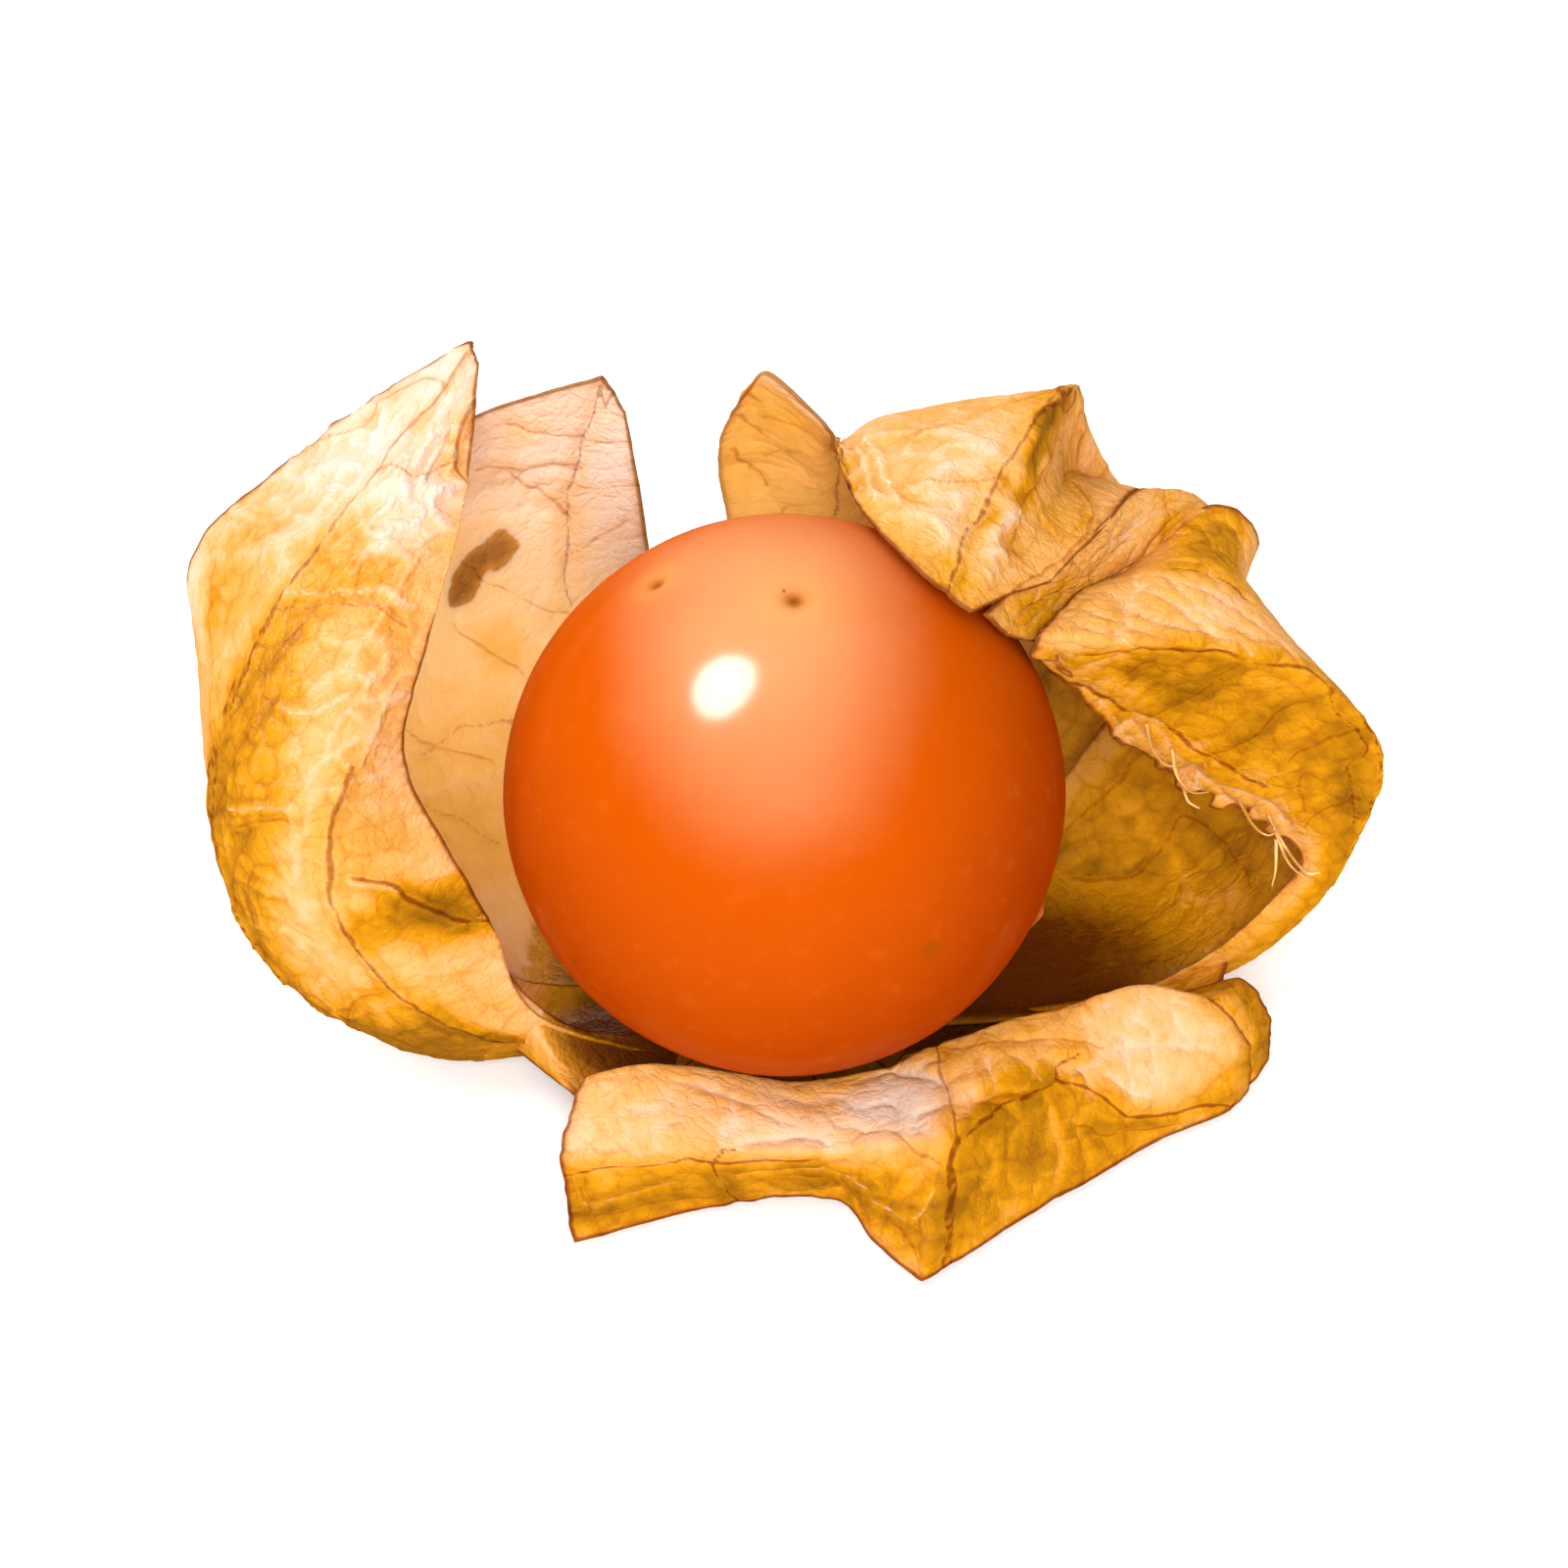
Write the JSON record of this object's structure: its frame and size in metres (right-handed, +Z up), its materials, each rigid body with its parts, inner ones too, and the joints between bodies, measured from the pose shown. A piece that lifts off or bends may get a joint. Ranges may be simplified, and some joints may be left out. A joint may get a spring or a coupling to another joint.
{
  "type": "physalis berry",
  "caption": "Ripe orange physalis berry lying in its torn-open papery husk, whose dry lobes stand, arch and fold down round it.",
  "frame": {"origin": "middle of the bottom of the whole object's box, on the surface that it lies on", "axes": "+Z up, -Y towards the husk lobe that is folded down in front, +X towards the lobe that arches over the berry"},
  "size_m": [0.0414, 0.0262, 0.0213],
  "materials": {
    "berry_skin": "smooth waxy orange fruit skin with a soft gloss",
    "husk_paper": "dry papery tissue, peach to amber, with a net of brown veins and fine wrinkles",
    "stalk_bark": "dry brown ribbed stalk"
  },
  "bodies": {
    "root": {"berry": "berry_skin", "husk_base": "husk_paper", "husk_left_lobe": "husk_paper", "husk_back_left_lobe": "husk_paper", "husk_back_right_lobe": "husk_paper", "husk_right_lobe": "husk_paper", "husk_front_lobe": "husk_paper", "stalk": "stalk_bark"}
  },
  "joints": []
}
